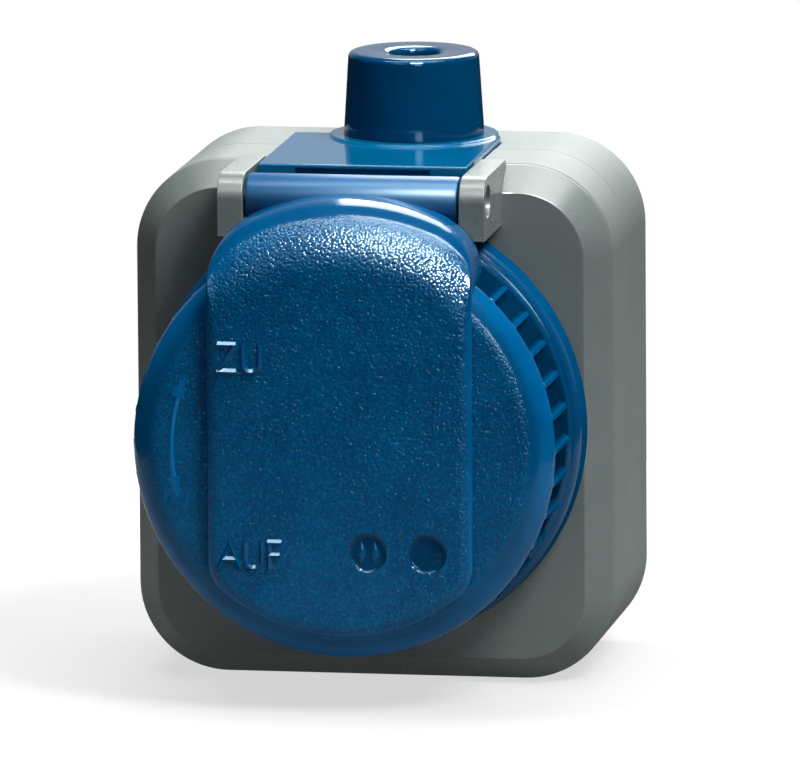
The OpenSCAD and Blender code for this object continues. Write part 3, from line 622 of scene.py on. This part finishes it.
rim_edges = edges_of(loops[-1])
for cx, cz in RECESS_AT:
    rings = []
    for grow, sunk in RECESS_RINGS:
        r = RECESS_R + grow
        angles = [2 * math.pi * k / RECESS_STEPS for k in range(RECESS_STEPS)]
        rings.append([mesh.verts.new(at(cx + r * math.cos(a), cz + r * math.sin(a), STRAP_FRONT - sunk))
                      for a in angles])
        set_all(rings[-1], grain_of, RECESS_GRAIN if sunk else 1.0)
        # The wall and floor of each recess are painted darker, a painted shade.
        set_all(rings[-1], shading_of, RECESS_SHADE if sunk else 0.0)
    skin(mesh, rings)
    mesh.faces.new(rings[-1])
    rim_edges += edges_of(rings[0])
bmesh.ops.triangle_fill(mesh, use_beauty=True, edges=rim_edges)
print("with the front face:", len(mesh.faces))

# %% [markdown]
# ### Barrel, web and boss
# The hinge barrel is a short tube between the lugs, a web joins it to the hood, and a boss at the back is
# the pivot that the ring turns on. They are part of the same moulding, so they go into the same mesh: the
# barrel turned about the hinge axis, the web as a run of sections that stays below the hood's arc, and the
# boss turned about the socket's axis.

# %% Barrel, web and boss
BARREL_HALF, BARREL_R, BORE_R, TURN_STEPS = 16.6, 3.7, 2.05, 64
WEB_STEPS, WEB_GAP, WEB_LOW, WEB_TOP, WEB_BELOW_ARC = 32, 0.05, 33.75, 36.8, 0.5
WEB_REAR, WEB_FRONT, WEB_DIP = 48.5, 56.0, 0.3
BOSS = [(2.0, 61.7), (7.7, 61.7), (8.0, 62.0), (8.0, 65.5), (2.0, 65.5)]

# Radius of the barrel's end and how far it lies inside the end face
barrel_end = [(BORE_R, 0.0), (3.1, 0.0), (3.53, 0.17), (BARREL_R, 0.6)]
barrel = [(r, -BARREL_HALF + inset) for r, inset in barrel_end]
barrel += [(r, BARREL_HALF - inset) for r, inset in reversed(barrel_end)]
tube = turned(mesh, barrel, TURN_STEPS,
              lambda r, h, a: at(h, HINGE_Z + r * math.sin(a), HINGE_DEPTH + r * math.cos(a)))
for loop in tube:
    set_all(loop, satin_of, 1.0)
loops = []
web_half = BARREL_HALF - WEB_GAP
for k in range(WEB_STEPS + 1):
    x = -web_half + 2 * web_half * k / WEB_STEPS
    top = min(WEB_TOP, math.sqrt(STRAP_TOP_R ** 2 - x * x) - WEB_BELOW_ARC)
    loops.append([mesh.verts.new(at(x, z, depth)) for z, depth in
                  ((WEB_LOW, WEB_REAR), (WEB_LOW, WEB_FRONT), (top, WEB_FRONT), (top - WEB_DIP, 54.0),
                   (top, 51.0))])
skin(mesh, loops)
mesh.faces.new(loops[0])
mesh.faces.new(loops[-1])
turned(mesh, BOSS, TURN_STEPS, lambda r, h, a: at(r * math.cos(a), r * math.sin(a), h))
finish_piece("lid_strap_moulding", mesh, blue_grain, "lid", ["lid_strap"])

# %% [markdown]
# ## Raised marks
# The moulding carries plain working marks: the words for shut and open, a double arrow on the ring and two
# drops in one recess. Each stroke stands out of the face as a ridge, as if the mould had been cut with a
# pointed tool. A font would bring its own shapes, so the strokes are drawn as curves with a bevel: flat in
# one plane, which keeps each ridge upright, then pressed towards the face to their moulded height. The
# arrow is very low, because the strap passes close in front of it when the ring turns.


# %% Beads
def beads(name, strokes, body, depth, radius, flatten, facets=0, painted_shading=0.0):
    """Raised strokes: each is a list of (x, z) or (x, z, thickness) points on the face at that depth."""
    curve = bpy.data.curves.new(name, "CURVE")
    curve.dimensions = "3D"
    curve.bevel_depth = radius * MM
    curve.bevel_resolution = facets
    curve.twist_mode = "Z_UP"
    curve.use_fill_caps = True
    for stroke in strokes:
        spline = curve.splines.new("POLY")
        spline.points.add(len(stroke) - 1)
        for point, values in zip(spline.points, stroke):
            point.co = (values[0] * MM, values[1] * MM, 0, 1)
            point.radius = values[2] if len(values) > 2 else 1.0
    maker = bpy.data.objects.new(name + "_curve", curve)
    bpy.context.scene.collection.objects.link(maker)
    bpy.context.view_layer.update()
    data = bpy.data.meshes.new_from_object(maker.evaluated_get(bpy.context.evaluated_depsgraph_get()))
    bpy.data.objects.remove(maker)
    mesh = bmesh.new()
    mesh.from_mesh(data)
    for vert in mesh.verts:
        x, z, out = vert.co
        vert.co = (x, -out * flatten - depth * MM, z)
    # painted_shading lightens the strokes where it is set, a painted highlight.
    set_all(mesh.verts, mesh.verts.layers.float.new("painted_shading"), painted_shading)
    finish_piece(name, mesh, blue_grain, body)


def bend(cx, cz, rx, rz, start, end, steps=14):
    """Points of an arc, angles in degrees counter-clockwise from the right."""
    angles = [math.radians(start + (end - start) * k / steps) for k in range(steps + 1)]
    return [(cx + rx * math.cos(a), cz + rz * math.sin(a)) for a in angles]


def letter_u(left, right, low, high):
    """One stroke: down, round a slightly flat bowl, and up."""
    r = (right - left) / 2
    return [(left, high)] + bend((left + right) / 2, low + r * 0.9, r, r * 0.9, 180, 360) + [(right, high)]


print("bead of one arc has", len(bend(0, 0, 1, 1, 0, 90)), "points")

# %% [markdown]
# ### The two words
# The words are plain block letters. Their strokes are lines and one arc, so a few points for each stroke are
# enough, and each stroke ends where the next begins, as in cut letters.

# %% The two words
SHUT_LOW, SHUT_HIGH, OPEN_LOW, OPEN_HIGH = 12.3, 16.5, -18.3, -14.2
A_BAR, F_BAR = OPEN_LOW + 1.3, OPEN_LOW + 2.1
shut_word = [[(-18.7, SHUT_HIGH), (-15.8, SHUT_HIGH)],
             [(-16.0, SHUT_HIGH), (-18.6, SHUT_LOW)],
             [(-18.8, SHUT_LOW), (-15.8, SHUT_LOW)],
             letter_u(-14.8, -12.2, SHUT_LOW, SHUT_HIGH)]
open_word = [[(-18.7, OPEN_LOW), (-17.1, OPEN_HIGH), (-15.5, OPEN_LOW)],
             [(-18.1, A_BAR), (-16.1, A_BAR)],
             letter_u(-14.6, -12.0, OPEN_LOW, OPEN_HIGH),
             [(-10.9, OPEN_LOW), (-10.9, OPEN_HIGH)],
             [(-11.1, OPEN_HIGH), (-8.9, OPEN_HIGH)],
             [(-10.9, F_BAR), (-9.2, F_BAR)]]
beads("raised_words", shut_word + open_word, "lid", STRAP_FRONT, radius=0.45, flatten=0.95)

# %% [markdown]
# ### Arrow and drops
# The arrow follows the edge of the ring, so its shaft and its heads are arcs about the socket's axis. A bead
# that thins to a point makes a head, and one that swells on its way makes a drop.

# %% Arrow and drops
ARROW_R, HEAD_STEPS, HEAD_POINT = 26.5, 6, 0.1
shaft = [bend(0, 0, ARROW_R, ARROW_R, 160, 193, 24)]
heads = []
for tip, tail in ((155.9, 163.0), (197.2, 190.1)):
    spine = bend(0, 0, ARROW_R, ARROW_R, tip, tail, HEAD_STEPS)
    heads.append([(*point, k / HEAD_STEPS + HEAD_POINT) for k, point in enumerate(spine)])
# The arrow is painted lighter than the ring, a painted highlight.
beads("turn_arrow_shaft", shaft, "ring", RING_FRONT, radius=0.42, flatten=0.58, painted_shading=1.0)
beads("turn_arrow_heads", heads, "ring", RING_FRONT, radius=1.0, flatten=0.23, painted_shading=0.8)

DROP_ASIDE, DROP_TOP, DROP_LENGTH = 1.05, 1.7, 3.3
DROP_SHAPE = (0.12, 0.45, 0.8, 1.1, 1.25, 1.2, 0.95, 0.5, 0.1)
drop_x, drop_z = RECESS_AT[0]
drops = [[(drop_x + aside, drop_z + DROP_TOP - DROP_LENGTH * k / (len(DROP_SHAPE) - 1), size)
          for k, size in enumerate(DROP_SHAPE)] for aside in (-DROP_ASIDE, DROP_ASIDE)]
beads("drop_marks", drops, "lid", STRAP_FRONT - RECESS_DEPTH, radius=0.55, flatten=0.5, facets=4)

# %% [markdown]
# ## The gland
# The gland is a turned cap that tapers upwards, with a soft top edge and a slightly dished top round the
# cable hole. It is polished, so any facet would show in its reflections, and its section is swept finely
# enough to leave none.

# %% Gland cap
GLAND_STEPS, TOP_EDGE_AT, TOP_EDGE_R = 160, (9.27, 12.0), 1.0
section = [(7.75, 0.0), (10.85, 0.0), (10.98, 0.08), (11.0, 0.25), (10.85, 2.6), (10.62, 6.3), (10.4, 10.0),
           (10.27, 11.95)]
for degrees in range(10, 91, 10):
    t = math.radians(degrees)
    section.append((TOP_EDGE_AT[0] + TOP_EDGE_R * math.cos(t), TOP_EDGE_AT[1] + TOP_EDGE_R * math.sin(t)))
section += [(7.5, 12.97), (5.4, 12.9), (4.7, 12.82), (4.35, 12.65), (4.15, 12.35), (4.1, 12.0), (4.1, 10.8),
            (5.95, 10.8), (5.95, 7.8), (7.75, 7.8)]
mesh = bmesh.new()
turned(mesh, section, GLAND_STEPS,
       lambda r, h, a: at(GLAND_X + r * math.cos(a), GLAND_SEAT + h, GLAND_DEPTH + r * math.sin(a)))
finish_piece("tapered_gland", mesh, blue_gloss_painted_shade, "housing", ["gland_cap"])

# %% [markdown]
# ## Stage, light and camera
# The part stands on a short sheet of white paper. A sheet that is only lit would turn grey in places, so
# the paper also glows: fully for the camera, a little for the part. Near the part the glow is dimmer, which
# leaves the contact shadow.

# %% Floor
FLOOR_Z = cad_box[0][2] - 0.3 * MM
FLOOR_FRONT, FLOOR_BACK, FLOOR_HALF = -0.16, 0.16, 0.2
GLOW_NEAR, GLOW_FAR, GLOW_FROM, GLOW_TO = 0.64, 1.0, 0.08, 0.135
GLOSSY_SHARE, DIFFUSE_SHARE = 0.08, 0.3
mesh = bmesh.new()
mesh.faces.new([mesh.verts.new((x, y, FLOOR_Z)) for x, y in
                ((-FLOOR_HALF, FLOOR_FRONT), (FLOOR_HALF, FLOOR_FRONT),
                 (FLOOR_HALF, FLOOR_BACK), (-FLOOR_HALF, FLOOR_BACK))])
data = bpy.data.meshes.new("studio_floor")
mesh.to_mesh(data)
mesh.free()
floor = bpy.data.objects.new("studio_floor", data)
bpy.context.scene.collection.objects.link(floor)
paper, tree, shader, place = new_material("matt_pale_paper")
fibre = add(tree, "ShaderNodeTexNoise", {"Scale": per_metre(2), "Detail": 3.0}, {"Vector": place})
tone = add(tree, "ShaderNodeMixRGB", {"Color1": linear("#7c7c7c"), "Color2": linear("#808080")},
           {"Fac": fibre.outputs["Fac"]})
shader.inputs["Roughness"].default_value = 0.9
shader.inputs["Specular IOR Level"].default_value = 0.1
tree.links.new(tone.outputs["Color"], shader.inputs["Base Color"])
ray = add(tree, "ShaderNodeLightPath").outputs
seen = add(tree, "ShaderNodeMath", {"operation": "MULTIPLY_ADD", 1: GLOSSY_SHARE},
           {0: ray["Is Glossy Ray"], 2: ray["Is Camera Ray"]})
seen = add(tree, "ShaderNodeMath", {"operation": "MULTIPLY_ADD", 1: DIFFUSE_SHARE},
           {0: ray["Is Diffuse Ray"], 2: seen.outputs[0]})
seen = add(tree, "ShaderNodeMath", {"operation": "MAXIMUM"},
           {0: seen.outputs[0], 1: ray["Is Transmission Ray"]})
away = add(tree, "ShaderNodeVectorMath", {"operation": "LENGTH"}, {0: place})
white = add(tree, "ShaderNodeMapRange",
            {"From Min": GLOW_FROM, "From Max": GLOW_TO, "To Min": GLOW_NEAR, "To Max": GLOW_FAR},
            {"Value": away.outputs["Value"]})
level = add(tree, "ShaderNodeMath", {"operation": "MULTIPLY"},
            {0: seen.outputs[0], 1: white.outputs["Result"]})
glow = add(tree, "ShaderNodeEmission", links={"Strength": level.outputs[0]})
both = add(tree, "ShaderNodeAddShader", links={0: shader.outputs[0], 1: glow.outputs[0]})
tree.links.new(both.outputs[0], tree.nodes["Material Output"].inputs["Surface"])
data.materials.append(paper)
print("floor at", round(FLOOR_Z, 4))

# %% [markdown]
# ### The studio around the part
# The camera sees white wherever it looks past the part. The part itself sees a dim room with a white card
# behind it, above the horizon, which the plate and the gland mirror. A world that is white all round would be
# simpler, but it would wash out the shading.

# %% World
CARD_SHARE, ROOM_LEVEL = 0.5, 0.01
world = bpy.data.worlds.new("white_studio")
bpy.context.scene.world = world
world.use_nodes = True
tree = world.node_tree
tree.nodes.clear()
ray = add(tree, "ShaderNodeLightPath").outputs
facing = add(tree, "ShaderNodeSeparateXYZ", links={0: add(tree, "ShaderNodeTexCoord").outputs["Generated"]})
# Parts of the direction that a ray takes: Y is 1 straight behind the part, Z is 0 on the horizon.
behind = add(tree, "ShaderNodeMapRange", {"From Min": 0.5, "From Max": 1.7}, {"Value": facing.outputs["Y"]})
raised = add(tree, "ShaderNodeMapRange", {"From Min": -0.02, "From Max": 0.08},
             {"Value": facing.outputs["Z"]})
card = add(tree, "ShaderNodeMath", {"operation": "MULTIPLY"},
           {0: behind.outputs["Result"], 1: raised.outputs["Result"]})
room = add(tree, "ShaderNodeMath", {"operation": "MULTIPLY_ADD", 1: CARD_SHARE, 2: ROOM_LEVEL},
           {0: card.outputs[0]})
mirror = add(tree, "ShaderNodeMath", {"operation": "MAXIMUM"},
             {0: ray["Is Glossy Ray"], 1: ray["Is Transmission Ray"]})
mirror = add(tree, "ShaderNodeMath", {"operation": "MULTIPLY"}, {0: mirror.outputs[0], 1: card.outputs[0]})
seen = add(tree, "ShaderNodeMath", {"operation": "MAXIMUM"}, {0: ray["Is Camera Ray"], 1: mirror.outputs[0]})
level = add(tree, "ShaderNodeMixRGB", {"Color2": (1, 1, 1, 1)},
            {"Fac": seen.outputs[0], "Color1": room.outputs[0]})
backdrop = add(tree, "ShaderNodeBackground", {"Strength": 1.0}, {"Color": level.outputs[0]})
add(tree, "ShaderNodeOutputWorld", links={"Surface": backdrop.outputs[0]})
print("white behind the part, dim in front of it")

# %% [markdown]
# ### The lamps
# Two lamps do the shading: a wide box overhead and a key lamp high on the right. The others only make
# reflections, as a photographer's cards and strips do: a line and a strip overhead for the barrel and the
# tops of the letters, a box and two cards in front for the glitter of the grain, and a box behind for the
# sheen on the plate. Kept apart, shading and glints can each be set without spoiling the other.

# %% Soft boxes
LAMPS_AIM = at(0, 0, 40)


def soft_box(name, place, size, watts, shade=True, gloss=True):
    """Lamp that faces the part; it can be kept out of the shading or out of the reflections."""
    lamp = bpy.data.lights.new(name, "AREA")
    lamp.shape = "RECTANGLE"
    lamp.size, lamp.size_y = size
    lamp.energy = watts
    holder = bpy.data.objects.new(name, lamp)
    toward = (Vector(place) - LAMPS_AIM).normalized()
    across = Vector((1, 0, 0)) - toward * toward.x
    across.normalize()
    turn = Matrix((across, toward.cross(across), toward)).transposed().to_4x4()
    holder.matrix_world = Matrix.Translation(place) @ turn
    holder.visible_diffuse = shade
    holder.visible_glossy = gloss
    bpy.context.scene.collection.objects.link(holder)
    print(name, watts, "W")


soft_box("overhead_box", (0.0, 0.02, 0.6), (0.6, 0.4), 5.0, gloss=False)
soft_box("overhead_line", (0.14, -0.03, 0.6), (0.5, 0.03), 2.1, shade=False)
soft_box("overhead_strip", (0.0, -0.175, 0.6), (0.7, 0.1), 4.6, shade=False)
soft_box("key_lamp", (0.48, -0.36, 0.75), (0.3, 0.3), 8.6, gloss=False)
soft_box("glint_box", (0.19, -0.71, 0.7), (0.3, 0.28), 38.0, shade=False)
soft_box("glint_side", (0.3, -0.95, 0.24), (0.2, 0.2), 1.6, shade=False)
soft_box("glint_card", (-0.25, -0.8, 0.55), (0.35, 0.3), 1.6, shade=False)
soft_box("back_box", (0.08, 0.55, 0.48), (0.46, 0.5), 7.5, shade=False)

# %% [markdown]
# ### The camera
# The camera stands far off with a long lens, a little to the right and a little above, as in the photograph.
# Its frame is 800 by 759 pixels; the aim is worked out from where the middle of the housing's rim falls in
# that frame.

# %% Camera
FRAME_W, FRAME_H, PIXELS_PER_MM, DISTANCE = 800, 759, 6.42, 2.2
AZIMUTH, ELEVATION, ROLL = math.radians(9.9), math.radians(9.8), math.radians(-0.4)
RIM_MIDDLE, RIM_PIXEL = at(0, -0.4, 34.0), (375.0, 418.7)
back = Vector((math.sin(AZIMUTH) * math.cos(ELEVATION), -math.cos(AZIMUTH) * math.cos(ELEVATION),
               math.sin(ELEVATION)))
level_right = Vector((math.cos(AZIMUTH), math.sin(AZIMUTH), 0))
level_up = back.cross(level_right)
right = level_right * math.cos(ROLL) + level_up * math.sin(ROLL)
up = level_up * math.cos(ROLL) - level_right * math.sin(ROLL)
shift = right * (FRAME_W / 2 - RIM_PIXEL[0]) - up * (FRAME_H / 2 - RIM_PIXEL[1])
aim = RIM_MIDDLE + shift * (MM / PIXELS_PER_MM)
lens = bpy.data.cameras.new("studio_camera")
lens.sensor_width = 36.0
lens.lens = lens.sensor_width * DISTANCE / (FRAME_W / PIXELS_PER_MM * MM)
lens.clip_end = 20.0
camera = bpy.data.objects.new("studio_camera", lens)
turn = Matrix((right, up, back)).transposed().to_4x4()
camera.matrix_world = Matrix.Translation(aim + back * DISTANCE) @ turn
bpy.context.scene.collection.objects.link(camera)
bpy.context.scene.camera = camera
bpy.context.scene.view_settings.view_transform = "Standard"
print("lens", round(lens.lens, 1), "mm")

# %% [markdown]
# ## Closing the lesson
# The view layer is brought up to date. Only the raised words stand past the box of the solids, by the few
# tenths of a millimetre that they are high.

# %% Sizes and finish
bpy.context.view_layer.update()
